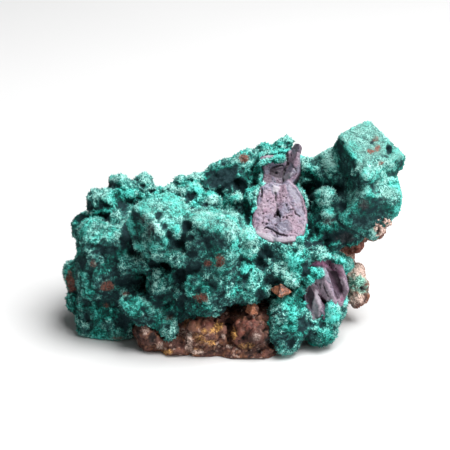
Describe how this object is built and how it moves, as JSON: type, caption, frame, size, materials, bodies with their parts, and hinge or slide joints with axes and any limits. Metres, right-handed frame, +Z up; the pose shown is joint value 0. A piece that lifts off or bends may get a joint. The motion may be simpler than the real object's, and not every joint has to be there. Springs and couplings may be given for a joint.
{
  "type": "malachite on cuprite mineral specimen",
  "caption": "Rock specimen: coated crystals grown together under a velvety green malachite crust, broken open to lilac cuprite faces, on a rough brown limonite matrix",
  "frame": {"origin": "middle of the specimen's footprint, on the flat underside that it rests on", "axes": "+X to the right of the show side and along the specimen, the show side faces -Y, +Z up"},
  "size_m": [0.0632, 0.0402, 0.0385],
  "materials": {
    "limonite": "rough, earthy, with ochre and orange spots",
    "malachite": "velvety, fine fibrous tufts with pale frosted tips",
    "cuprite": "broken crystal, satin to submetallic, lilac-grey",
    "rusty_crystal": "satin, rusted"
  },
  "bodies": {
    "root": {"matrix": "limonite", "malachite_crust": "malachite", "cuprite_centre": "cuprite", "cuprite_top": "cuprite", "cuprite_right": "cuprite", "rusty_octahedron": "rusty_crystal", "rusty_cube": "rusty_crystal"}
  },
  "joints": []
}
